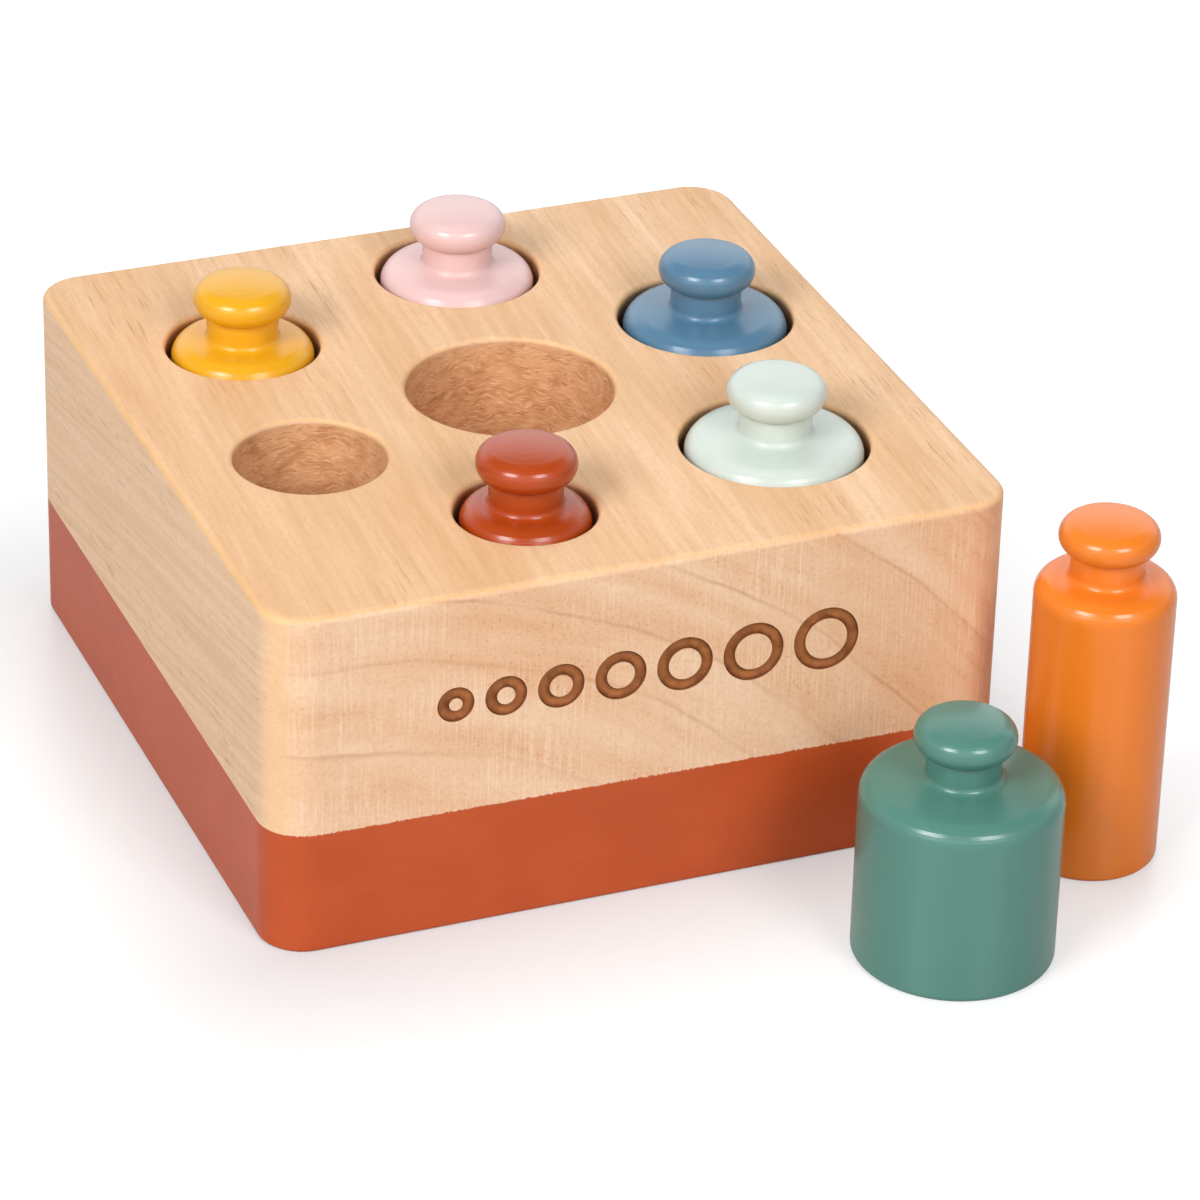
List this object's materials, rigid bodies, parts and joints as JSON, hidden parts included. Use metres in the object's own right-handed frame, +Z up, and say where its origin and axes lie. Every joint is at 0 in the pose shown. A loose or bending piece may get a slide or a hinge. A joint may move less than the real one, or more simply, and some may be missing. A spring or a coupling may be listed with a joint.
{
  "type": "cylinder peg board",
  "caption": "Square hardwood block with blind round holes that hold knobbed turned pegs, graded in width and height, for sorting by feel; loose pegs stand beside it.",
  "frame": {"origin": "middle of the block's underside, on the surface that it stands on", "axes": "+Z up, -Y towards the engraved front of the block, +X to the right seen from the front"},
  "size_m": [0.1761, 0.2077, 0.0862],
  "materials": {
    "hardwood": "bare sanded hardwood, lower third painted terracotta",
    "orange_paint": "satin paint",
    "rust_paint": "satin paint",
    "yellow_paint": "satin paint",
    "pink_paint": "satin paint",
    "blue_paint": "satin paint",
    "mint_paint": "satin paint",
    "green_paint": "satin paint"
  },
  "bodies": {
    "board": {"block": "hardwood"},
    "peg_orange": {"peg_orange": "orange_paint"},
    "peg_rust": {"peg_rust": "rust_paint"},
    "peg_yellow": {"peg_yellow": "yellow_paint"},
    "peg_pink": {"peg_pink": "pink_paint"},
    "peg_blue": {"peg_blue": "blue_paint"},
    "peg_mint": {"peg_mint": "mint_paint"},
    "peg_green": {"peg_green": "green_paint"}
  },
  "joints": [
    {"name": "lift_orange", "type": "slide", "parent": "board", "child": "peg_orange", "axis": [0, 0, 1], "range_m": [0, 0.082]},
    {"name": "lift_rust", "type": "slide", "parent": "board", "child": "peg_rust", "axis": [0, 0, 1], "range_m": [0, 0.0736]},
    {"name": "lift_yellow", "type": "slide", "parent": "board", "child": "peg_yellow", "axis": [0, 0, 1], "range_m": [0, 0.0644]},
    {"name": "lift_pink", "type": "slide", "parent": "board", "child": "peg_pink", "axis": [0, 0, 1], "range_m": [0, 0.0598]},
    {"name": "lift_blue", "type": "slide", "parent": "board", "child": "peg_blue", "axis": [0, 0, 1], "range_m": [0, 0.0552]},
    {"name": "lift_mint", "type": "slide", "parent": "board", "child": "peg_mint", "axis": [0, 0, 1], "range_m": [0, 0.0506]},
    {"name": "lift_green", "type": "slide", "parent": "board", "child": "peg_green", "axis": [0, 0, 1], "range_m": [0, 0.082]}
  ]
}
